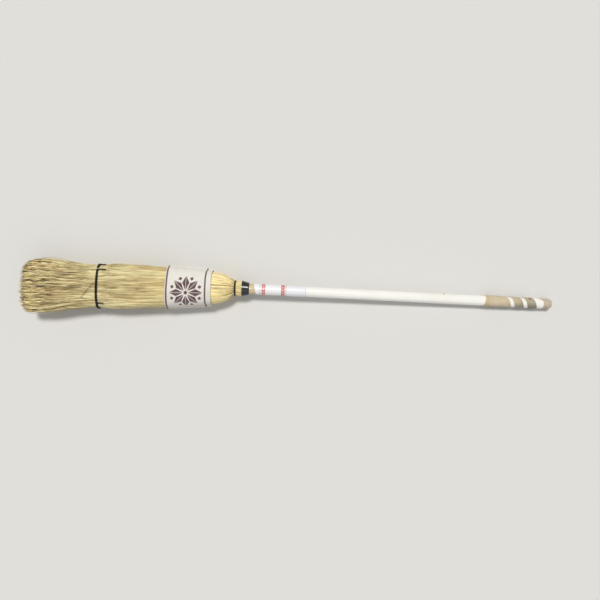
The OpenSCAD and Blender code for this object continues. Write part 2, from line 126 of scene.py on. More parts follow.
# Where the skin is felt, clear of the dents under the sleeve
STATIONS = MM * np.concatenate([
    np.arange(-20, 8, 0.5), np.arange(8, 60, 2), [60, 66, 69, 78, 86, 94, 102, 110],
    [122, 130, 138], np.arange(143, 440, 3), [439.8]])


def feel_skin():
    """Evenly spaced points round the corn at each station, felt from outside: stations x ring x 2."""
    mesh = bmesh.new()
    for node in ("front_cover_corn", "back_cover_corn"):
        mesh.from_mesh(frame["nodes"][node].data)
    mesh.transform(UNLAY)
    tree = BVHTree.FromBMesh(mesh)
    mesh.free()
    rings = []
    for s in STATIONS:
        centre = Vector((-s, lean(s), sag(s)))
        ring = []
        for i in range(RING):
            a = (i + 0.5) * TURN / RING
            ray = Vector((0, math.cos(a), math.sin(a)))
            hit = tree.ray_cast(centre + ray * OUTSIDE, -ray)[0]
            ring.append((hit.y, hit.z) if hit else ring[-1])
        ring = np.array(ring + ring[:1])
        run = run_along(ring)
        rings.append(points_at(ring, run, np.linspace(0, run[-1], RING + 1)))
    return np.array(rings)


SKIN = feel_skin()
GIRTH = np.linalg.norm(np.diff(SKIN, axis=1), axis=2).sum(axis=1)


def girth(s):
    return np.interp(s, STATIONS, GIRTH)


def skin(s, share, depth=0.0):
    """Points of the corn's skin. share is the way round, 0 at +y, 0.25 at the front and 0.5 at -y;
    depth is measured inwards."""
    s, share, depth = np.broadcast_arrays(s, share, depth)
    row = np.interp(s, STATIONS, np.arange(len(STATIONS)))
    i = np.minimum(row.astype(int), len(STATIONS) - 2)
    column = (share % 1.0) * RING
    j = np.minimum(column.astype(int), RING - 1)
    u, v = (row - i)[..., None], (column - j)[..., None]
    at = (SKIN[i, j] * (1 - u) + SKIN[i + 1, j] * u) * (1 - v)
    at += (SKIN[i, j + 1] * (1 - u) + SKIN[i + 1, j + 1] * u) * v
    out = unit(at - np.stack([lean(s), sag(s)], axis=-1))
    return np.concatenate([-s[..., None], at - out * depth[..., None]], axis=-1)


# ---- making pieces
def new_object(name, data):
    data.name = name
    obj = bpy.data.objects.new(name, data)
    scene.collection.objects.link(obj)
    return obj


def piece(name, mesh, material, slot, *nodes):
    """A finished piece of the broom, from a mesh in broom coordinates."""
    mesh.transform(LAY)
    return placed(name, mesh, material, slot, *nodes)


def placed(name, mesh, material, slot, *nodes):
    """A finished piece of the broom, from a mesh in the model's frame."""
    mesh.shade_smooth()
    mesh.materials.clear()
    mesh.materials.append(material)
    obj = new_object(name, mesh)
    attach(obj, "root")
    if nodes:
        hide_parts(*nodes)
    return obj


def thicken(obj, thickness):
    """Gives a sheet its thickness, half to each side."""
    wall = obj.modifiers.new("thickness", "SOLIDIFY")
    wall.thickness = thickness
    wall.offset = 0


def dress(material, *nodes):
    """Gives CAD nodes their finish."""
    for node in nodes:
        for slot in frame["nodes"][node].material_slots:
            slot.material = material


def tubes(routes, radii, sides=4, tones=None):
    """A mesh of closed tubes that follow the routes, count x points x 3, with a radius at each
    point. tones is a number for each point, the straw's lightness with any painted shade taken off,
    which the finish reads."""
    count, points = routes.shape[:2]
    radii = np.broadcast_to(radii, (count, points))
    curve = bpy.data.curves.new("tubes", "CURVE")
    curve.dimensions = "3D"
    curve.bevel_depth = 1
    curve.bevel_resolution = sides // 2 - 2
    curve.use_fill_caps = True
    for route, radius in zip(routes, radii):
        spline = curve.splines.new("POLY")
        spline.points.add(points - 1)
        spline.points.foreach_set("co", np.column_stack([route, np.ones(points)]).ravel())
        spline.points.foreach_set("radius", radius)
    holder = bpy.data.objects.new("tubes", curve)
    mesh = bpy.data.meshes.new_from_object(holder)
    bpy.data.objects.remove(holder)
    if tones is not None:
        tones = np.broadcast_to(tones, (count, points))
        caps = np.repeat(tones[::-1, (0, -1)], sides, axis=1).ravel()
        walls = np.repeat(tones, sides, axis=1).ravel()
        tone_and_shade = mesh.attributes.new("tone_and_shade", "FLOAT", "POINT")
        tone_and_shade.data.foreach_set("value", np.concatenate([caps, walls]).astype(np.float32))
    closed = bmesh.new()
    closed.from_mesh(mesh)
    bmesh.ops.remove_doubles(closed, verts=closed.verts, dist=0.002 * MM)
    bmesh.ops.recalc_face_normals(closed, faces=closed.faces)
    closed.to_mesh(mesh)
    closed.free()
    return mesh


def shaped_grid(columns, rows, place, flat=None, closed_rows=False):
    """A grid bent into shape: place takes arrays u and v, 0 to 1, and gives points. flat takes u and
    v and gives the UV map. closed_rows joins v = 1 to v = 0."""
    grid = bmesh.new()
    grid.loops.layers.uv.new("UVMap")
    bmesh.ops.create_grid(grid, x_segments=columns, y_segments=rows, size=0.5, calc_uvs=True)
    uv = np.array([v.co[:2] for v in grid.verts]) + 0.5
    for vert, at in zip(grid.verts, place(uv[:, 0], uv[:, 1])):
        vert.co = at
    if flat:
        layer = grid.loops.layers.uv.active
        for loop in (loop for face in grid.faces for loop in face.loops):
            loop[layer].uv = flat(*loop[layer].uv)
    if closed_rows:
        bmesh.ops.remove_doubles(grid, verts=grid.verts, dist=0.001 * MM)
    return grid


def close_ends(shape):
    bmesh.ops.holes_fill(shape, edges=[e for e in shape.edges if e.is_boundary])


def finished(shape, uv_map="UVMap"):
    """The mesh of a shape, with its faces turned outwards."""
    bmesh.ops.recalc_face_normals(shape, faces=shape.faces)
    mesh = bpy.data.meshes.new("shape")
    shape.to_mesh(mesh)
    shape.free()
    for layer in mesh.uv_layers:
        layer.name = uv_map
    return mesh


# ---- wiring materials
def ink(red, green, blue):
    """A colour given as on a paint card, 0 to 255."""
    def light(c):
        c /= 255
        return c / 12.92 if c <= 0.04045 else ((c + 0.055) / 1.055) ** 2.4
    return (light(red), light(green), light(blue), 1)


class Wiring:
    """Adds nodes to one tree. An input is a plain value, another node's output, or None to leave
    the socket as it is."""

    def __init__(self, tree):
        self.tree = tree

    def put(self, socket, value):
        if isinstance(value, bpy.types.NodeSocket):
            self.tree.links.new(value, socket)
        elif value is not None:
            socket.default_value = value

    def node(self, kind, *inputs, **settings):
        made = self.tree.nodes.new("ShaderNode" + kind)
        for key, value in settings.items():
            setattr(made, key, value)
        for socket, value in zip(made.inputs, inputs):
            self.put(socket, value)
        return made

    def group(self, tree, **inputs):
        made = self.node("Group", node_tree=tree)
        for key, value in inputs.items():
            self.put(made.inputs[key], value)
        return made.outputs

    def math(self, operation, a, b=None):
        return self.node("Math", a, b, operation=operation).outputs[0]

    def plus(self, a, b):
        return self.math("ADD", a, b)

    def minus(self, a, b):
        return self.math("SUBTRACT", a, b)

    def times(self, a, b):
        return self.math("MULTIPLY", a, b)

    def either(self, a, b):
        return self.math("MAXIMUM", a, b)

    def split(self, vector):
        return self.node("SeparateXYZ", vector).outputs

    def scaled(self, vector, factor):
        return self.node("VectorMath", vector, None, None, factor, operation="SCALE").outputs[0]

    def away(self, vector, point):
        """How far away a point is."""
        return self.node("VectorMath", vector, point, operation="DISTANCE").outputs["Value"]

    def mixed(self, share, a, b, blend="MIX"):
        unused = [None] * 5
        return self.node("Mix", share, *unused, a, b, data_type="RGBA", blend_type=blend).outputs[2]

    def ranged(self, value, low, high, to_low=0.0, to_high=1.0):
        return self.node(
            "MapRange", value, low, high, to_low, to_high, interpolation_type="SMOOTHSTEP"
        ).outputs[0]

    def band(self, value, start, end, soft=0.15):
        """1 from start to end and 0 elsewhere, with soft edges."""
        return self.times(
            self.ranged(value, start - soft, start + soft), self.ranged(value, end + soft, end - soft))

    def ramp(self, value, *stops):
        """A colour ramp through (place, colour) stops."""
        made = self.node("ValToRGB", value)
        stretch = made.color_ramp.elements
        while len(stretch) < len(stops):
            stretch.new(0.5)
        for element, (place, colour) in zip(stretch, stops):
            element.position = place
            element.color = colour
        return made.outputs[0]

    def noise(self, vector, scale, detail=2.0, roughness=0.5):
        """Soft noise. scale is a number, or one for each axis."""
        if isinstance(scale, tuple):
            vector = self.node("VectorMath", vector, scale, operation="MULTIPLY").outputs[0]
            scale = 1.0
        return self.node("TexNoise", vector, None, scale, detail, roughness).outputs["Fac"]

    def bump(self, height, distance, strength=1.0):
        return self.node("Bump", strength, distance, None, height).outputs[0]


class Finish(Wiring):
    """A material with one Principled shader. An input is named in lower case, as in base_color."""

    def __init__(self, name, **values):
        self.material = bpy.data.materials.new(name)
        self.material.use_nodes = True
        super().__init__(self.material.node_tree)
        self.wear(**values)

    def wear(self, **values):
        shader = self.tree.nodes["Principled BSDF"].inputs
        for key, value in values.items():
            self.put(shader[key.replace("_", " ").title().replace("Ior", "IOR")], value)
        return self.material


# ---- shared effects
def shared_effect(name, inputs, *outputs):
    """An empty shader node group, with its wiring and its inside ends. A socket called Place holds
    a place in millimetres, and any other holds a number."""
    tree = bpy.data.node_groups.new(name, "ShaderNodeTree")

    def add(key, in_out):
        kind = "NodeSocketVector" if key == "Place" else "NodeSocketFloat"
        return tree.interface.new_socket(key, in_out=in_out, socket_type=kind)

    for key, value in inputs.items():
        socket = add(key, "INPUT")
        if value is not None:
            socket.default_value = value
    for key in outputs:
        add(key, "OUTPUT")
    start = tree.nodes.new("NodeGroupInput").outputs
    end = tree.nodes.new("NodeGroupOutput").inputs
    return tree, Wiring(tree), start, end


def make_broom_place():
    """Where a point is on the broom, from the neck, and its way round the handle."""
    tree, w, _, end = shared_effect("broom place", {}, "Place", "Along", "Round")
    turned = w.node(
        "Mapping", w.node("TexCoord").outputs["Object"], UNLAY.translation / MM, UNLAY.to_euler(),
        (1 / MM, 1 / MM, 1 / MM)).outputs[0]
    parts = w.split(turned)
    w.put(end["Place"], turned)
    w.put(end["Along"], parts["X"])
    w.put(end["Round"], w.math("ARCTAN2", parts["Y"], parts["Z"]))
    return tree


def make_weave():
    """Plain weave over a flat place: its height, and a mottle of its threads."""
    tree, w, start, end = shared_effect(
        "plain weave", {"Place": None, "Thread": 0.5}, "Height", "Mottle")
    even = w.scaled(start["Place"], w.math("DIVIDE", 1.0, start["Thread"]))
    wobble = w.times(w.noise(even, 0.35, 2), 0.7)
    parts = w.split(even)
    x, y = (w.plus(parts[k], wobble) for k in "XY")
    warp, weft = (w.math("ABSOLUTE", w.math("SINE", w.times(way, math.pi))) for way in (x, y))
    cell = w.plus(w.math("FLOOR", x), w.math("FLOOR", y))
    over = w.math("GREATER_THAN", w.math("MODULO", w.math("ABSOLUTE", cell), 2.0), 0.5)
    low = w.times(w.math("MINIMUM", warp, weft), 0.5)
    top = w.plus(w.times(warp, over), w.times(weft, w.minus(1.0, over)))
    w.put(end["Height"], w.either(top, low))
    slubs = w.noise(even, (0.15, 1.2, 1), 3)
    w.put(end["Mottle"], w.plus(w.times(slubs, 0.6), w.times(w.noise(even, 0.08, 3), 0.4)))
    return tree


def make_grain():
    """Long streaks along the broom: fine fibres, and slow bands of colour."""
    tree, w, start, end = shared_effect("grain", {"Place": None, "Fineness": 1.0}, "Fibre", "Band")
    fine = w.scaled(start["Place"], start["Fineness"])
    w.put(end["Fibre"], w.noise(fine, (0.06, 1.6, 1.6), 3, 0.6))
    w.put(end["Band"], w.noise(fine, (0.012, 0.22, 0.22), 2))
    return tree


def make_scuffs():
    """Small scattered marks of handling, and broad soft soiling."""
    tree, w, start, end = shared_effect("scuffs", {"Place": None, "Amount": 0.5}, "Marks", "Soil")
    dots = w.noise(start["Place"], (0.10, 0.35, 0.35), 4, 0.7)
    edge = w.minus(0.86, w.times(start["Amount"], 0.2))
    w.put(end["Marks"], w.ranged(dots, edge, w.plus(edge, 0.05)))
    w.put(end["Soil"], w.ranged(w.noise(start["Place"], 0.02, 3), 0.35, 0.75))
    return tree


BROOM_PLACE = make_broom_place()
WEAVE = make_weave()
GRAIN = make_grain()
SCUFFS = make_scuffs()


# ---- finishes
# Where the paint starts and ends on the handle, and one nick in it
PAINT_FROM_MM, PAINT_TO_MM = 47.0, 669.9
NICK_MM = (452, 9.0, 6.5)
# The edges of the label's bands, pink and red
PINK_BANDS_MM = ((57.3, 60.0), (107.7, 110.6))
RED_BANDS_MM = ((60.0, 66.6), (100.6, 107.7))
# The width of one lap of the neck tape, and the slope of the taper under it
NECK_LAP_MM, NECK_TAPER = 4.1, 0.27
# One stain on the grip tape
STAIN_MM = (640, 8.6, 7.4)
# The star's middle, from the middle of the panel, and half the turn from petal to petal
STAR_MM = (3.5, -11.5)
HALF_PETAL = math.pi / 8


def straw_finish(name, light):
    """Dried broom corn. Each straw has its own lightness, with painted shade in it where the straw
    lies deep or in a gap; light scales the whole, and a lower light makes a painted-shade copy.
    The shoulder is golden, the blade paler with green in it, and the tips are tan."""
    w = Finish(name, roughness=0.6)
    place, along_mm, _ = w.group(BROOM_PLACE)
    fibre, band = w.group(GRAIN, Place=place, Fineness=1.4)
    tone_and_shade = w.node("Attribute", attribute_name="tone_and_shade").outputs["Fac"]
    down = w.node("MapRange", along_mm, 20.0, -440.0, 0.0, 1.0).outputs[0]
    body = w.ramp(
        down, (0.0, ink(240, 222, 164)), (0.13, ink(245, 225, 160)), (0.32, ink(234, 216, 158)),
        (0.62, ink(234, 223, 175)), (0.88, ink(240, 226, 174)), (1.0, ink(254, 232, 172)))
    patches = w.noise(place, (0.012, 0.05, 0.05), 2)
    body = w.mixed(w.ranged(patches, 0.45, 0.75, 0, 0.35), body, ink(222, 222, 164))
    body = w.mixed(w.ranged(patches, 0.42, 0.22, 0, 0.3), body, ink(244, 218, 166))
    # These darker mixes follow the painted shade that the straws carry, as well as their own lightness
    body = w.mixed(w.ranged(tone_and_shade, 0.45, 0.0, 0, 0.8), body, ink(174, 146, 92))
    body = w.mixed(w.ranged(tone_and_shade, 0.05, -0.7), body, ink(66, 51, 25))
    body = w.mixed(w.ranged(tone_and_shade, 0.55, 0.95, 0, 0.7), body, ink(254, 247, 218))
    shade = w.times(w.ranged(fibre, 0.3, 0.7, 0.86, 1.08), light)
    shade = w.times(w.ranged(band, 0.35, 0.6, 0.82, 1.05), shade)
    return w.wear(
        base_color=w.mixed(1.0, body, shade, "MULTIPLY"), normal=w.bump(fibre, 0.15 * MM, 0.6))


def shaded_core_finish():
    """The corn deep in the head, seen only through gaps; its dark colour is painted shade."""
    w = Finish("shaded corn", roughness=0.8)
    fibre, _ = w.group(GRAIN, Place=w.group(BROOM_PLACE)[0], Fineness=0.7)
    return w.wear(
        base_color=w.mixed(fibre, ink(52, 40, 20), ink(128, 104, 60)),
        normal=w.bump(fibre, 1.0 * MM))


def wood_and_paint_finish():
    """Varnished wood at the neck, white gloss paint along the handle, bare wood at the butt."""
    w = Finish("painted handle", coat_roughness=0.08, coat_ior=1.5)
    place, along_mm, way = w.group(BROOM_PLACE)
    fibre, _ = w.group(GRAIN, Place=place, Fineness=0.8)
    scuffs, soil = w.group(SCUFFS, Place=place, Amount=0.5)
    wander = w.times(w.noise(place, 0.3, 3), 1.2)
    from_neck = w.plus(along_mm, wander)
    worn_back = w.ranged(w.math("SINE", way), 0.35, 1.0, 0.0, 8.0)
    at_butt = w.plus(from_neck, worn_back)
    painted = w.times(
        w.ranged(from_neck, PAINT_FROM_MM, PAINT_FROM_MM + 0.5),
        w.ranged(at_butt, PAINT_TO_MM, PAINT_TO_MM - 0.5))
    neck_wood = w.mixed(fibre, ink(184, 164, 126), ink(222, 208, 174))
    speckle = w.noise(place, (0.18, 0.9, 0.9), 4, 0.6)
    butt_wood = w.mixed(w.ranged(speckle, 0.35, 0.68), ink(170, 156, 135), ink(212, 201, 182))
    butt_wood = w.mixed(w.ranged(fibre, 0.4, 0.65, 0, 0.45), butt_wood, ink(184, 169, 146))
    smudge = w.ranged(w.noise(place, 0.22, 3), 0.52, 0.7, 0, 0.4)
    butt_wood = w.mixed(smudge, butt_wood, ink(146, 134, 119))
    wood = w.mixed(w.ranged(along_mm, 300, 301), neck_wood, butt_wood)
    paint = w.mixed(w.times(soil, 0.4), ink(243, 242, 237), ink(232, 229, 217))
    nick = w.ranged(w.plus(w.away(place, NICK_MM), w.times(wander, 1.5)), 2.8, 2.3)
    marks = w.either(w.times(scuffs, 0.6), nick)
    paint = w.mixed(marks, paint, ink(160, 150, 130))
    rough = w.times(w.plus(fibre, speckle), w.times(w.minus(1.0, painted), 0.25))
    ripple = w.times(w.noise(place, (0.01, 0.12, 0.12), 2), 0.5)
    height = w.minus(w.plus(rough, ripple), w.times(nick, 0.6))
    return w.wear(
        base_color=w.mixed(painted, wood, paint), roughness=w.minus(0.55, w.times(painted, 0.25)),
        coat_weight=w.times(painted, w.minus(1.0, marks)), normal=w.bump(height, 0.3 * MM, 0.6))


def sleeve_finish():
    """Heavy off-white canvas, printed with two stripes and an eight-petal star. The UV map holds
    millimetres: x from the edge at the neck, y from the middle of the panel."""
    w = Finish("sleeve canvas", roughness=0.88, sheen_weight=0.25)
    spot = w.node("UVMap", uv_map="cloth_mm").outputs[0]
    weave, mottle = w.group(WEAVE, Place=spot, Thread=0.55)
    cloth = w.mixed(mottle, ink(222, 217, 210), ink(240, 237, 231))
    soil = w.ranged(w.noise(spot, (0.03, 0.03, 1), 3), 0.45, 0.8, 0, 0.35)
    cloth = w.mixed(soil, cloth, ink(205, 196, 180))
    down = w.split(spot)["X"]
    length = SLEEVE_LEN / MM
    stripes = w.either(
        w.band(down, 10.35, 13.65, 0.25), w.band(down, length - 5.05, length - 1.55, 0.25))

    middle = (length / 2 + STAR_MM[0], STAR_MM[1], 0)
    far = w.away(spot, middle)
    star = w.split(w.node("VectorMath", spot, middle, operation="SUBTRACT").outputs[0])
    folded = w.math("PINGPONG", w.math("ARCTAN2", star["Y"], star["X"]), HALF_PETAL)

    def diamond(angle, centre, half_length, half_width):
        """A diamond that points away from the middle, repeated round the star, and how far a
        point lies to its side."""
        out = w.math("ABSOLUTE", w.minus(w.times(far, w.math("COSINE", angle)), centre))
        side = w.times(far, w.math("SINE", angle))
        edge = w.plus(w.math("DIVIDE", out, half_length), w.math("DIVIDE", side, half_width))
        return w.ranged(edge, 1.03, 0.97), side

    petal, side = diamond(folded, 20.5, 15.5, 7.6)
    petal = w.times(petal, w.ranged(side, 0.3, 0.55))
    gem, _ = diamond(w.minus(HALF_PETAL, folded), 31.5, 4.2, 4.2)
    printed = w.either(w.either(petal, gem), w.ranged(far, 3.8, 3.5))
    worn = w.ranged(mottle, 0.3, 0.7, 0.97, 0.86)
    cloth = w.mixed(w.times(printed, worn), cloth, ink(76, 28, 46))
    cloth = w.mixed(w.times(stripes, worn), cloth, ink(78, 48, 60))
    return w.wear(base_color=cloth, normal=w.bump(weave, 0.12 * MM, 0.7))


def grip_tape_finish():
    """Woven cloth tape, greyer towards the butt, with painted shade on its low side and on its -y side
    near the butt, and one stain.
    """
    w = Finish("cloth grip tape", roughness=0.85, sheen_weight=0.2)
    place, along_mm, way = w.group(BROOM_PLACE)
    spot = w.node("UVMap", uv_map="tape_mm").outputs[0]
    weave, mottle = w.group(WEAVE, Place=spot, Thread=0.45)
    marks, _ = w.group(SCUFFS, Place=place, Amount=0.8)
    base = w.mixed(w.ranged(mottle, 0.35, 0.65), ink(197, 182, 151), ink(219, 204, 174))
    # Painted shade on the low side, turned away from the light, and greyer towards the butt
    painted_shade_low_side = w.ranged(w.math("COSINE", way), 0.75, 0.2, 0, 0.45)
    towards_butt = w.ranged(along_mm, 575.0, 640.0, 0, 0.7)
    base = w.mixed(w.either(painted_shade_low_side, towards_butt), base, ink(158, 150, 130))
    # Painted shade on the -y side near the butt, away from the key lamp
    painted_shade_at_butt = w.times(towards_butt, w.ranged(w.math("SINE", way), 0.2, -0.7))
    base = w.mixed(painted_shade_at_butt, base, ink(116, 112, 102))
    first_turn = w.ranged(along_mm, 560.0, 545.0, 0, 0.45)
    base = w.mixed(first_turn, base, ink(206, 178, 136))
    base = w.mixed(w.times(marks, 0.5), base, ink(120, 100, 78))
    blot = w.times(w.noise(place, 0.35, 3), 7.0)
    stain = w.ranged(w.plus(w.away(place, STAIN_MM), blot), 8.4, 5.2, 0, 0.8)
    base = w.mixed(stain, base, ink(138, 92, 66))
    return w.wear(base_color=base, normal=w.bump(weave, 0.12 * MM, 0.8))


def label_film(name):
    """Smooth film, laid on with faint ripples, and where each point is on it."""
    w = Finish(name, roughness=0.42, coat_weight=0.3)
    place, along_mm, way = w.group(BROOM_PLACE)
    w.wear(normal=w.bump(w.noise(place, 0.25, 2), 0.05 * MM, 0.5))
    return w, place, along_mm, way


def banded_label_finish():
    """Printed film: two red bands with small diamonds, thin lines and a blank white middle."""
    w, place, along_mm, way = label_film("banded label print")
    step = w.math("PINGPONG", w.times(way, 11.5), 3.0)
    colour = ink(238, 238, 240)
    for start, end in PINK_BANDS_MM:
        colour = w.mixed(w.band(along_mm, start, end), colour, ink(240, 206, 200))
    for start, end in RED_BANDS_MM:
        off = w.math("ABSOLUTE", w.minus(along_mm, (start + end) / 2))
        gem = w.ranged(w.plus(off, step), 1.7, 1.4)
        red = w.times(w.band(along_mm, start, end), w.minus(1.0, gem))
        colour = w.mixed(red, colour, ink(196, 86, 96))
    colour = w.mixed(w.band(along_mm, 54.8, 55.4, 0.05), colour, ink(120, 122, 124))
    colour = w.mixed(w.band(along_mm, 111.0, 111.6, 0.05), colour, ink(180, 132, 92))
    _, soil = w.group(SCUFFS, Place=place, Amount=0.4)
    return w.wear(base_color=w.mixed(w.times(soil, 0.15), colour, ink(226, 222, 210)))


def plain_label_finish():
    """Pale bluish film with two faint rules along it and one across its end."""
    w, _, along_mm, way = label_film("plain label film")
    rules = w.band(w.math("ABSOLUTE", way), 0.6925, 0.7475, 0.0075)
    rules = w.times(rules, w.band(along_mm, 115.75, 148.25, 0.25))
    colour = w.mixed(w.times(rules, 0.4), ink(233, 234, 240), ink(170, 172, 184))
    end_line = w.band(along_mm, 152.2, 153.0, 0.1)
    return w.wear(base_color=w.mixed(w.times(end_line, 0.6), colour, ink(150, 152, 150)))


def neck_tape_finish():
    """Glossy black vinyl, wound down the taper in laps that each lie level, with faint creases."""
    w = Finish("black neck tape", base_color=ink(14, 15, 18), specular_ior_level=0.55)
    place, along_mm, way = w.group(BROOM_PLACE)
    creases = w.noise(place, (0.6, 0.10, 0.10), 2)
    ribs = w.noise(place, (0.05, 0.45, 0.45), 1)
    lap = w.plus(w.math("DIVIDE", along_mm, NECK_LAP_MM), w.math("DIVIDE", way, TURN))
    level = w.times(w.math("FRACT", lap), NECK_LAP_MM * NECK_TAPER)
    height = w.plus(level, w.plus(w.times(creases, 0.18), w.times(ribs, 0.1)))
    return w.wear(normal=w.bump(height, 1.0 * MM), roughness=w.ranged(creases, 0.3, 0.7, 0.16, 0.3))


def twine_finish(name, colour, dusty):
    """Waxed twine; its lay comes from its shape, and the wax has gone dull in places."""
    w = Finish(name, specular_ior_level=0.3)
    fluff = w.noise(w.group(BROOM_PLACE)[0], 2.2, 3)
    return w.wear(
        base_color=w.mixed(w.ranged(fluff, 0.45, 0.8), colour, dusty),
        roughness=w.ranged(fluff, 0.3, 0.7, 0.42, 0.75), normal=w.bump(fluff, 0.15 * MM, 0.6))


def steel_finish():
    """Bright drawn steel."""
    w = Finish("bright steel", metallic=1.0)
    dull = w.noise(w.group(BROOM_PLACE)[0], 1.5, 3)
    return w.wear(
        base_color=w.mixed(w.ranged(dull, 0.4, 0.8), ink(206, 205, 202), ink(150, 144, 136)),
        roughness=w.ranged(dull, 0.3, 0.7, 0.25, 0.45))


def black_wire_finish():
    """Wire under black lacquer, rubbed through in places."""
    w = Finish("lacquered wire", specular_ior_level=0.3)
    rubbed = w.noise(w.group(BROOM_PLACE)[0], 0.8, 3)
    return w.wear(
        base_color=w.mixed(w.ranged(rubbed, 0.62, 0.8), ink(11, 10, 10), ink(44, 40, 35)),
        roughness=w.ranged(rubbed, 0.3, 0.8, 0.4, 0.6))


straw = straw_finish("broom corn straw", 1.04)
# The straws under the cover get a copy of the straw with less light: painted shade
shaded_deep_straw = straw_finish("deep broom corn straw", 0.82)
stalk = straw_finish("broom corn stalk", 1.14)
steel = steel_finish()
black_twine = twine_finish("black twine", ink(17, 16, 15), ink(40, 38, 35))
pale_thread = twine_finish("seam thread", ink(222, 218, 208), ink(236, 233, 226))
canvas = sleeve_finish()
dress(wood_and_paint_finish(), "handle")
dress(banded_label_finish(), "banded_label")
dress(plain_label_finish(), "plain_label")
dress(neck_tape_finish(), "neck_tape")
dress(black_twine, "upper_twine_near", "upper_twine_far")
dress(steel, "start_brad", "inside_wire", "shoulder_wire", "cover_wire")
dress(pale_thread, "left_seam_thread", "right_seam_thread")


# ---- corn
rng = np.random.default_rng(1131)
# How deep the outer layer of corn goes, and half the width of the head at its tips
LAYER = 5.5 * MM
HALF_HEAD = 57 * MM
# The share of the way round that each face and each side takes
FACES = {"front": (0.0, 0.5), "back": (0.5, 1.0)}
SIDES = {"left": (-0.25, 0.25), "right": (0.25, 0.75)}


def near(place, wobble, count):
    return place + rng.uniform(-wobble, wobble, count)


def spread_over(count, shares):
    """Places round the head for a number of straws, in a jittered row."""
    first, last = shares
    return first + (last - first) * (np.arange(count) + rng.uniform(0, 1, count)) / count


def sway(s, amount, lengths=(34 * MM, 61 * MM, 118 * MM)):
    """A slow sideways wander of each straw, in metres: routes x points."""
    total = np.zeros_like(s)
    for wave in lengths:
        size = amount * rng.uniform(0.3, 1.0, (len(s), 1)) * wave / lengths[-1]
        total += size * np.sin(TURN * s / wave + rng.uniform(0, TURN, (len(s), 1)))
    return total


def looseness(s):
    """How free the straws are: least by the sleeve and the twine, 1 at the tips."""
    by_twine = 0.85 * np.exp(-((s - TWINE_AT) / (15 * MM)) ** 2)
    by_sleeve = 0.7 * clamp(1 - (s - SLEEVE_FAR) / (50 * MM))
    return (1 - np.maximum(by_twine, by_sleeve)) * np.interp(
        s, [SLEEVE_FAR, TWINE_AT, HEAD_LEN], [0.6, 0.7, 1.0])


def bundles(count, opens, roams):
    """Uneven bundles of straws side by side round the head: their borders, two phases, the lengths
    over which each opens and wanders, given in millimetres, and how deep each lies."""
    borders = (np.arange(count + 1) + rng.uniform(-0.4, 0.4, count + 1)) / count
    borders[-1] = borders[0] + 1.0
    ranges = ((0, TURN), (0, TURN), np.multiply(opens, MM), np.multiply(roams, MM), (0, 1))
    return borders, [rng.uniform(low, high, count) for low, high in ranges]


CLUMPS = bundles(30, (60, 150), (80, 160))
WISPS = bundles(86, (30, 120), (60, 120))
TUFTS = bundles(150, (13, 40), (18, 44))


def gathered(share, s, bundle, pull, wander):
    """Draws straws together into bundles. Gives their shift round the head, how far each lies in
    a gap between bundles, 0 to 1, and how deep its bundle lies, 0 to 1."""
    borders, shapes = bundle
    at = borders[0] + (share - borders[0]) % 1.0
    own = np.clip(np.searchsorted(borders, at, side="right") - 1, 0, len(borders) - 2)
    phase, turn, opens, roams, level = (shape[own][:, None] for shape in shapes)
    half = ((borders[own + 1] - borders[own]) / 2)[:, None]
    off = ((borders[own + 1] + borders[own]) / 2 - at)[:, None]
    opening = (0.5 + 0.5 * np.sin(TURN * s / opens + phase)) ** 1.3
    shift = off * opening * pull + 2 * half * wander * np.sin(TURN * s / roams + turn)
    return shift, (off / half) ** 2 * opening, level


def trimmed_end(share):
    """Where the straws end: ragged, and cut back at the two corners of the head."""
    corner = (skin(np.full_like(share, HEAD_LEN), share)[:, 1] - LEAN) / HALF_HEAD
    end = HEAD_LEN + np.clip(rng.normal(-5.8 * MM, 3.6 * MM, len(share)), -16 * MM, 3 * MM)
    end += 1.2 * MM * np.sin(share * 47) * np.sin(share * 131)
    end -= 14 * MM * clamp((corner - 0.78) / 0.22) ** 1.5
    end -= 3 * MM * clamp((-corner - 0.84) / 0.16) ** 1.5
    return end


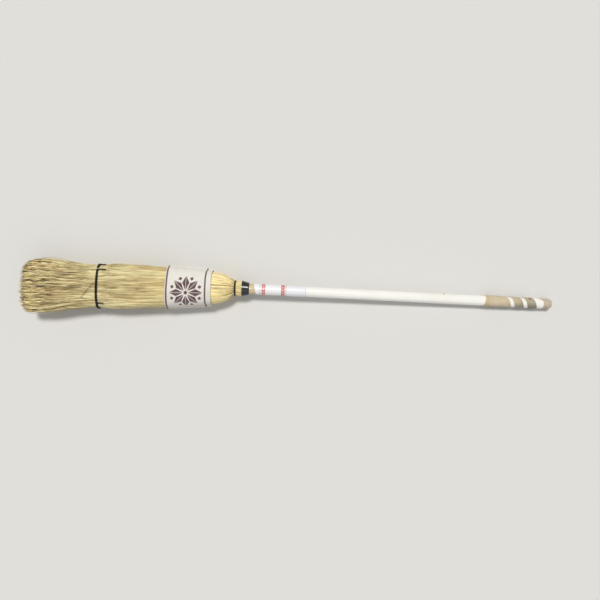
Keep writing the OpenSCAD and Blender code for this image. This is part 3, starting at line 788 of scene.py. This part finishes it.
def straws(share, begin, end, points, depth, radii, rise=0.0, dive=0.0, frizz=1.0):
    """Routes, radii and tones of straws from begin to end. They come up from deeper corn over
    their first stretch if rise is given, and go down into it over their last if dive is."""
    t = np.linspace(0, 1, points)
    s = begin[:, None] + (end - begin)[:, None] * t
    free = looseness(s)
    loose = clamp((s - TWINE_AT) / (HEAD_LEN - TWINE_AT))
    clump, gap, clump_level = gathered(share, s, CLUMPS, 0.12, 0.10)
    wisp, crease, wisp_level = gathered(share, s, WISPS, 0.68, 0.14)
    tuft, cut, tuft_level = gathered(share, s, TUFTS, 0.6, 0.45)
    own = sway(s, 0.5 * MM * frizz) + sway(s, 0.9 * MM * frizz, (19 * MM, 31 * MM)) * loose ** 2
    side = free * (own / girth(s) + clump + wisp + tuft * (0.25 + 0.75 * loose))
    # How thick each straw is, and how deep it lies
    thick, thin = radii
    body = rng.uniform(0.75, 1.25, (len(share), 1)) * (thick + (thin - thick) * t ** 1.3)
    body[:, -1] *= 0.5
    sunk = free * MM * (0.8 * gap + 1.6 * crease + 0.5 * wisp_level + 0.5 * clump_level)
    sunk += loose * MM * (1.3 * cut + 1.2 * wisp_level ** 2 + 1.4 * tuft_level ** 2)
    deep = rng.uniform(*depth, len(share))[:, None] + body + sway(s, 0.5 * MM) * free + sunk
    deep += rise * clamp(1 - t * 5) + dive * clamp(t * 5 - 4)
    stand = rng.uniform(0, 1, (len(share), 1)) ** 6 * 2.6 * MM * loose ** 2
    deep = np.maximum(deep, body * 0.9) - stand
    # How light it is: streaks down the head, with painted shade in the gaps and where the straw lies
    # deep, though less so at the ends
    streak = 0.5 + 0.5 * np.sin(TURN * (s / (150 * MM) + 3 * tuft_level + 2 * wisp_level))
    dash = np.sin(TURN * (s / (40 * MM) * (1 + 0.6 * tuft_level) + 7 * tuft_level))
    tone_and_shade = 0.55 * rng.uniform(0, 1, (len(share), 1)) + 0.25 * wisp_level + 0.3 * streak
    tone_and_shade += (0.06 * free + 0.26 * loose) * dash
    inside = 1 - 0.75 * clamp(1 - (HEAD_LEN - 6 * MM - s) / (22 * MM))
    # Painted shade: darker in the gaps between bundles and tufts, and where a tuft lies deep
    tone_and_shade -= free * (0.1 * gap + 0.8 * crease)
    tone_and_shade -= loose * (1.1 * cut * inside + 0.5 * tuft_level - 0.33)
    # Painted shade where the straw lies deep in the corn, less so near the trimmed end
    tone_and_shade -= 1.1 * clamp(deep / LAYER) ** 1.4 * inside
    return skin(s, share[:, None] + side, deep), body, tone_and_shade


def add_straws(name, made, finish, *nodes, sides=4):
    routes, radii, tones = made
    piece(name, tubes(routes, radii, sides, tones), finish, "broom_corn", *nodes)


def add_bunch(name, finish, shares, *nodes, count, points, begin, end=None, depth, radii,
              rise=0.0, dive=0.0, frizz=1.0):
    """A bunch of straws, in millimetres: where they begin and end, each as a middle and a wobble,
    how deep they lie, and their radii at both ends. With no end they reach the trimmed face."""
    share = spread_over(count, shares)
    begin = near(*np.multiply(begin, MM), count)
    end = near(*np.multiply(end, MM), count) if end else trimmed_end(share)
    depth, radii = np.multiply((depth, radii), MM)
    made = straws(share, begin, end, points, depth, radii, rise * MM, dive * MM, frizz)
    add_straws(name, made, finish, *nodes)


def add_cover(face, shares):
    """The outer straws of one face: those that come out of the sleeve, and those that branch off
    them and reach the tips."""
    name = face + "_cover"
    add_bunch(
        name + "_straws", straw, shares, name + "_corn", count=400, points=13, begin=(124, 6),
        end=(312, 34), depth=(0.0, 2.2), radii=(0.85, 0.6), dive=3.5)
    add_bunch(
        name + "_branches", straw, shares, count=430, points=13, begin=(255, 45), depth=(0.0, 3.0),
        radii=(0.75, 0.5), rise=3.5)


def add_fibres(face, shares):
    """Fine fibres among the straws of one face, and the frizzy ends near the tips."""
    count = 620
    begin = rng.uniform(140 * MM, 350 * MM, count)
    fibres = straws(
        spread_over(count, shares), begin, begin + rng.uniform(60 * MM, 85 * MM, count), 11,
        (0.0, 1.6 * MM), (0.4 * MM, 0.34 * MM), rise=2.0 * MM, dive=2.0 * MM, frizz=1.5)
    add_straws(face + "_fibres", fibres, straw)
    add_bunch(
        face + "_frizz", straw, shares, count=820, points=12, begin=(372, 26), depth=(0.0, 4.0),
        radii=(0.5, 0.36), rise=2.5, frizz=2.2)


def add_shoulder(side, shares):
    """The straws under the cover, down one side of the head."""
    name = side + "_shoulder"
    add_bunch(
        name + "_straws", shaded_deep_straw, shares, name + "_corn", count=170, points=13, begin=(124, 6),
        end=(330, 20), depth=(2.6, 5.0), radii=(1.0, 0.8))
    add_bunch(
        name + "_branches", shaded_deep_straw, shares, count=210, points=12, begin=(300, 20),
        depth=(2.6, 5.2), radii=(0.9, 0.65))


# Where the points of each stalk lie
STALK_STOPS = np.array([-20, -17, -16.2, -5.0, -4.2, -0.2, 0.8, 6, 13, 23, 36, 51, 67]) * MM


def stalks(count, shares, depth, neck_r, shoulder_r):
    """Stalks side by side over the shoulder, from under the neck tape to under the sleeve."""
    share = shares[0] + (shares[1] - shares[0]) * (np.arange(count) + 0.5) / count
    share += rng.uniform(-0.28, 0.28, count) / count
    s = STALK_STOPS + np.zeros((count, 1))
    spread = clamp(s / (48 * MM))
    side = sway(s, 0.9 * MM) * spread / girth(s)
    body = (neck_r + (shoulder_r - neck_r) * spread ** 0.7) * rng.uniform(0.82, 1.14, (count, 1))
    deep = depth + body + rng.uniform(0, 0.8 * MM, (count, 1)) * np.clip(s / (8 * MM) + 1.6, 0.3, 1)
    # Each stalk has its own lightness; the layer below is darker, and all grow darker where they run
    # into the neck wire: painted shade
    tone_and_shade = rng.uniform(0.2, 1, (count, 1)) - 0.3 * (depth > 0)
    tone_and_shade = tone_and_shade - 0.9 * np.exp(-np.abs(s - 2 * MM) / (8 * MM)) * rng.uniform(0, 1, (count, 1))
    return skin(s, share[:, None] + side, deep), body, tone_and_shade


def add_stalks(face, shares):
    name = face + "_stalks"
    add_straws(name, stalks(46, shares, 0.0, 0.6 * MM, 1.45 * MM), stalk, sides=6)
    add_straws(name + "_below", stalks(44, shares, 0.8 * MM, 0.8 * MM, 1.6 * MM), stalk)


def core_depth(s):
    """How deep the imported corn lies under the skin."""
    return MM * np.interp(s / MM, [0, 20, 60, 200], [1.6, 3, 4.5, 6])


def add_core():
    """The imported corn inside, and the cut ends that fill the trimmed face."""
    packed_to = HEAD_LEN - 26 * MM

    def place(u, v):
        s = -UNDER_TAPE + u * (packed_to + UNDER_TAPE)
        return skin(s, v, core_depth(s) + 0.4 * MM * np.sin(v * TURN * 41 + s * 60))

    packed = shaped_grid(120, 160, place, closed_rows=True)
    close_ends(packed)
    piece("packed_corn", finished(packed), shaded_core_finish(), "broom_corn", "inside_corn")

    spacing = 1.75 * MM
    half_w, half_t = 58 * MM, 33 * MM
    y, z = np.meshgrid(np.arange(-half_w, half_w, spacing), np.arange(-half_t, half_t, spacing))
    y, z = (a.ravel() + rng.uniform(-0.4, 0.4, a.size) * spacing for a in (y, z))
    share = (np.arctan2(z / half_t, y / half_w) / TURN) % 1.0
    edge = skin(np.full(y.size, HEAD_LEN), share, 5.0 * MM)
    out = np.hypot(y, z) / np.hypot(edge[:, 1] - LEAN, edge[:, 2] - SAG)
    y, z = y[out < 1.0], z[out < 1.0]
    t = np.linspace(0, 1, 6)
    end = HEAD_LEN + rng.normal(-4.0 * MM, 2.4 * MM, y.size)
    end -= 14 * MM * clamp((y / half_w - 0.7) / 0.3)
    begin = packed_to - 6 * MM
    s = begin + (end - begin)[:, None] * t
    route = np.stack([
        -s, lean(s) + y[:, None] * (0.94 + 0.06 * t) + sway(s, 1.2 * MM) * t,
        sag(s) + z[:, None] * (0.92 + 0.08 * t) + sway(s, 1.2 * MM) * t], axis=-1)
    body = rng.uniform(0.45, 0.85, (y.size, 1)) * MM
    # Each cut end has its own lightness, darker further into the head: painted shade
    tone_and_shade = rng.uniform(-0.05, 0.8, (y.size, 1)) - 0.7 * (1 - t)
    add_straws("cut_ends", (route, body, tone_and_shade), straw)


def add_strays():
    """A few straws that have worked loose."""
    def route(*stops):
        """Through stops of distance from the neck, way round and height over the corn, in mm."""
        s, share, height = np.array(stops, float).T
        even = np.linspace(0, len(s) - 1, 13)
        s, share, height = (np.interp(even, np.arange(len(s)), a) for a in (s * MM, share, height * MM))
        return skin(s, eased(share, 2), -eased(height, 2))

    routes = np.array([
        route((166, 0.02, -1), (200, 0.015, 2.2), (235, 0.01, 2.8), (270, 0.02, -1)),
        route((291, 0.218, 0.8), (299, 0.258, 1.6), (307, 0.302, 1.6), (316, 0.350, 0.8)),
        route((255, 0.080, -1), (277, 0.087, 3.2), (292, 0.092, 3.2), (322, 0.100, -1)),
        route((404, 0.252, -2), (424, 0.249, 0.5), (440, 0.248, 2.0), (448, 0.246, 2.0)),
        route((330, 0.02, -1), (360, 0.01, 2.0), (385, 0.0, 2.5), (412, -0.01, 1.0)),
        route((372, 0.49, -1), (400, 0.5, 1.6), (425, 0.505, 2.2), (440, 0.51, 1.0)),
        route((150, 0.62, -1), (190, 0.66, 1.2), (235, 0.69, 1.4), (262, 0.7, -1)),
        route((318, 0.78, -1), (360, 0.8, 1.6), (400, 0.84, 2.0), (436, 0.85, 1.2))])
    body = np.array([0.5, 0.4, 0.5, 0.5, 0.5, 0.5, 0.5, 0.5])[:, None] * MM
    tone_and_shade = np.array([0.9, -0.45, 0.75, 0.9, 0.2, 0.8, 0.9, 0.4])[:, None]
    add_straws("loose_straws", (routes, body, tone_and_shade), straw)


for add, parts in ((add_cover, FACES), (add_fibres, FACES), (add_shoulder, SIDES), (add_stalks, FACES)):
    for part, shares in parts.items():
        add(part, shares)
add_core()
add_strays()


# ---- twine and wire
def twisted(route, normals, strand_r, lay_length, strands=3):
    """Routes of strands twisted round a route."""
    run = run_along(route)
    side = np.cross(unit(np.gradient(route, axis=0)), normals)
    off = strand_r * 1.1
    return np.array([
        route + off * (np.cos(a)[:, None] * normals + np.sin(a)[:, None] * side)
        for a in (TURN * (run / lay_length + k / strands) for k in range(strands))])


def outward(s, share):
    """The direction straight out of the corn's skin."""
    return unit(skin(s, share) - skin(s, share, 1 * MM))


def add_lower_twine():
    """Two turns of twisted twine in the waist that they pull into the blade."""
    thick, gap = 2.5 * MM, 0.05 * MM
    turns, per_turn = 2, 220
    t = np.linspace(0, turns, turns * per_turn + 1)
    share = t - 0.25
    level = np.full_like(t, TWINE_AT)
    out = outward(level, share)
    route = skin(level, share) + out * (thick / 2 + 0.1 * MM)
    route[:, 0] = (t - turns / 2) * (thick + gap) - TWINE_AT
    mesh = tubes(twisted(route, out, thick * 0.25, 7 * MM), thick * 0.27, sides=6)
    piece("lower_twine_turns", mesh, black_twine, "black_twine", "lower_twine")


def add_twine_strands():
    """Loose strands of the twine that run back from it, each of three plies that part at the end."""
    routes = []
    t = np.linspace(0, 1, 12)
    for share, length_mm, droop in ((0.028, 12, 0.012), (0.090, 16, 0.016), (0.402, 14, -0.002)):
        s = TWINE_AT - 1.5 * MM - t * length_mm * MM
        way = share + droop * t ** 2
        out = outward(s, way)
        lie = skin(s, way) + out * (2.2 * MM - 0.6 * MM * t[:, None])
        side = unit(np.cross(out, np.gradient(lie, axis=0)))
        for k in range(3):
            a = TURN * (t * 1.6 + k / 3)[:, None]
            part = (0.55 + 0.6 * t[:, None] ** 3) * MM
            routes.append(lie + part * (np.cos(a) * 0.5 * out + np.sin(a) * side))
    mesh = tubes(np.array(routes), np.linspace(0.9, 0.6, 12) * MM, sides=6)
    piece("twine_strand_ends", mesh, black_twine, "black_twine", "lower_twine_strands")


def add_neck_wire():
    """Four turns of black wire side by side in the neck."""
    lo, hi = reach("neck_wire")
    wire_r = 0.55 * MM
    turns, per_turn = 4, 72
    t = np.linspace(0, turns, turns * per_turn + 1)
    x = lo.x + wire_r + t / turns * (hi.x - lo.x - 1.2 * wire_r)
    r = hi.z - wire_r - 0.02 * MM
    a = TURN * t - QUARTER
    mesh = tubes(np.column_stack([x, r * np.cos(a), r * np.sin(a)])[None], wire_r, sides=8)
    piece("neck_wire_turns", mesh, black_wire_finish(), "black_wire", "neck_wire")


def add_tack():
    """The domed head of the tack at the end of the neck tape."""
    lo, hi = reach("end_tack")
    middle = (lo + hi) / 2
    head_r = (hi.x - lo.x) / 2
    rise = 0.22 * head_r
    brim = hi.z - rise
    bend = np.linspace(0.02, QUARTER, 7)
    out = np.append(head_r * np.sin(bend), [head_r * 0.9, 0.02 * MM])
    up = np.append(brim + rise * np.cos(bend), [brim - 0.15 * MM] * 2)
    last = len(out) - 1

    def place(u, v):
        k = np.rint(u * last).astype(int)
        x, y = out[k] * np.cos(TURN * v), out[k] * np.sin(TURN * v)
        return np.column_stack([middle.x + x, middle.y + y, up[k]])

    head = shaped_grid(last, 24, place, closed_rows=True)
    close_ends(head)
    piece("tack_head", finished(head), steel, "bright_steel", "end_tack")


add_lower_twine()
add_twine_strands()
add_neck_wire()
add_tack()


# ---- sleeve
# The thickness of the cloth, and how far it clears the corn
CLOTH = 0.9 * MM
CLEAR = 0.35 * MM
PANEL_COLUMNS, PANEL_ROWS = 96, 160


def panel_line(s, side):
    """The middle of the cloth across one panel, from the tab at +y to the tab at -y."""
    share = np.linspace(0.012, 0.488, 90)
    arch = skin(np.full(90, s), share if side > 0 else 1 - share, -(CLEAR + CLOTH / 2))[:, 1:]
    seam_z = side * (0.05 * MM + CLOTH / 2)
    arch = arch[np.abs(arch[:, 1] - sag(s)) > abs(seam_z) + 0.8 * MM]
    tab_reach = np.interp(s, [SLEEVE_NEAR, SLEEVE_FAR], [5.0 * MM, 3.3 * MM])
    tab = np.linspace(1, 0.25, 6) * tab_reach
    level = np.full(6, seam_z)
    line = np.concatenate([
        np.column_stack([arch[0, 0] + tab, level]), arch,
        np.column_stack([arch[-1, 0] - tab[::-1], level])])
    eased(line, 3)
    return line, run_along(line)


def slack(s, v, from_seam, phase):
    """How far the cloth stands off where it is not drawn tight: a hem, soft folds and puckers."""
    from_near, from_far = s - SLEEVE_NEAR, SLEEVE_FAR - s
    hem = 0.25 * MM * clamp((7 * MM - min(from_near, from_far)) / (1 * MM))
    flare = 1.1 * MM * np.exp(-from_near / (14 * MM)) * (0.6 + 0.4 * np.sin(v * 17 + phase[1]))
    flare += 0.5 * MM * np.exp(-from_far / (8 * MM)) * (0.5 + 0.5 * np.sin(v * 23 + phase[2]))
    soft = 0.22 * MM * np.sin(v * 11 + s * 45 + phase[3])
    soft += 0.16 * MM * np.sin(v * 27 - s * 80 + phase[4])
    pucker = 0.15 * MM * np.sin(TURN * s / (4.8 * MM)) * np.exp(-((from_seam - 6 * MM) / (4 * MM)) ** 2)
    inside = clamp(from_seam / (9 * MM))
    return (hem + flare + soft + 0.2 * MM) * inside + pucker


def add_panel(face, side):
    """One sewn panel of the sleeve: drawn over the corn, slack at its edges, puckered at the seams."""
    name = f"sleeve_{face}_panel"
    steps = np.linspace(SLEEVE_NEAR, SLEEVE_FAR, PANEL_COLUMNS + 1)
    lines = [panel_line(s, side) for s in steps]
    width = np.array([run[-1] for _, run in lines])
    phase = rng.uniform(0, TURN, 8)
    step = 0.5 * MM

    def place(u, v):
        column = np.rint(u * PANEL_COLUMNS).astype(int)
        at = np.empty((len(u), 3))
        for k, (s, (line, run)) in enumerate(zip(steps, lines)):
            here = column == k
            over = v[here]
            spot = over * run[-1]
            way = unit(points_at(line, run, spot + step) - points_at(line, run, spot - step))
            out = np.column_stack([-way[:, 1], way[:, 0]]) * -side
            lift = slack(s, over, np.minimum(spot, run[-1] - spot), phase)
            down = k / PANEL_COLUMNS
            wave = 0.4 * MM * np.sin(over * 9 + phase[0]) * (2 * down - 1) ** 5
            bow = 3.0 * MM * (1 - (2 * over - 1) ** 2) * down ** 2
            at[here] = np.column_stack(
                [wave + bow - s, points_at(line, run, spot) + out * lift[:, None]])
        return at

    def flat(u, v):
        span = np.interp(u, np.linspace(0, 1, PANEL_COLUMNS + 1), width)
        return u * SLEEVE_LEN / MM, (0.5 - v) * span / MM

    mesh = finished(shaped_grid(PANEL_COLUMNS, PANEL_ROWS, place, flat), "cloth_mm")
    mesh.transform(LAY)
    for vert in mesh.vertices:
        vert.co.z = max(vert.co.z, CLOTH / 2 + 0.1 * MM)
    panel = placed(name, mesh, canvas, "sleeve_cloth", f"sleeve_{face}")
    thicken(panel, CLOTH)


add_panel("front", 1)
add_panel("back", -1)


# ---- grip tape
TAPE_W = 20 * MM
TAPE_T = 0.35 * MM
# Where the near edge of the tape lies at each turn, and where the tape ends. Turns count from the
# last whole one, and a whole turn is at the +y side.
TAPE_END = 0.62
TAPE_TURNS = np.concatenate([np.arange(-5.5, -4, 0.25), np.arange(-4, 1.5, 0.5)])
TAPE_EDGE_MM = [
    539.5, 541.5, 545.0, 542.0, 539.5, 541.5, 546.0, 551.0, 557.0, 563.0, 568.0, 582.0, 596.2, 610.4,
    624.6, 638.8, 653.0]


def add_grip_tape():
    """Cloth tape wound up the handle: closed turns that lap each other, then open ones."""
    first, last = TAPE_TURNS[0], TAPE_END
    length = (last - first) * TURN * PAINT_R

    def place(u, v):
        turns = first + u * (last - first)
        angle = TURN * turns
        edge, before = (np.interp(at, TAPE_TURNS, TAPE_EDGE_MM) * MM for at in (turns, turns - 1))
        lapped = np.where(turns > first + 1, before + TAPE_W - edge, -1.0)
        on_top = clamp((lapped - v * TAPE_W) / (1.0 * MM) + 0.5)
        r = PAINT_R + TAPE_T / 2 + 0.1 * MM + TAPE_T * on_top
        fray = 0.15 * MM * (np.sin(turns * 390) + np.sin(turns * 171)) * (np.abs(v - 0.5) > 0.49)
        return np.column_stack([edge + v * TAPE_W + fray, r * np.cos(angle), r * np.sin(angle)])

    def flat(u, v):
        return u * length / MM, v * TAPE_W / MM

    mesh = finished(shaped_grid(480, 20, place, flat), "tape_mm")
    tape = piece("grip_tape_winding", mesh, grip_tape_finish(), "grip_tape", "grip_tape")
    thicken(tape, TAPE_T)


add_grip_tape()


# ---- floor, lights and camera
CAMERA_FROM_NECK = (142.12 * MM, -18.6 * MM)
CAMERA_HEIGHT = 1.08
CAMERA_VIEW = math.radians(63.06)
CAMERA_TURN = math.radians(2.86)


def add_floor():
    grid = bmesh.new()
    bmesh.ops.create_grid(grid, x_segments=1, y_segments=1, size=6)
    mesh = finished(grid)
    mesh.materials.append(
        Finish("pale floor", base_color=(0.7, 0.695, 0.68, 1), roughness=0.9).material)
    floor = new_object("floor", mesh)
    floor.location.z = -0.2 * MM


def add_lamp(name, at, spread, strength, colour):
    """A soft lamp far away, so that the floor is as bright at its edges; spread is in degrees."""
    lamp = bpy.data.lights.new(name, "SUN")
    lamp.angle = math.radians(spread)
    lamp.energy = strength
    lamp.color = colour
    holder = new_object(name, lamp)
    holder.location = at
    holder.rotation_euler = (-Vector(at)).to_track_quat("-Z", "Y").to_euler()


def add_camera():
    camera = bpy.data.cameras.new("camera")
    camera.sensor_width = 36
    camera.angle = CAMERA_VIEW
    camera.clip_start = 0.01
    holder = new_object("camera", camera)
    holder.location = (neck.x + CAMERA_FROM_NECK[0], neck.y + CAMERA_FROM_NECK[1], CAMERA_HEIGHT)
    holder.rotation_euler = (0, 0, CAMERA_TURN)
    scene.camera = holder


def add_world():
    """Even light from all round, and a pale backdrop behind everything."""
    world = bpy.data.worlds.new("studio")
    world.use_nodes = True
    w = Wiring(world.node_tree)
    rays = w.node("LightPath").outputs
    seen = w.either(rays["Is Camera Ray"], rays["Is Glossy Ray"])
    seen = w.either(seen, rays["Is Transmission Ray"])
    background = world.node_tree.nodes["Background"].inputs
    w.put(background["Color"], (1, 0.992, 0.96, 1))
    w.put(background["Strength"], w.plus(0.3, w.times(seen, 0.45)))
    scene.world = world


add_floor()
add_lamp("key lamp", (-0.3, 1.05, 2.6), 13, 2.25, (1.0, 0.985, 0.95))
add_lamp("fill lamp", (0.6, -1.6, 2.0), 50, 0.42, (0.95, 0.97, 1.0))
add_world()
scene.view_settings.view_transform = "Standard"
add_camera()
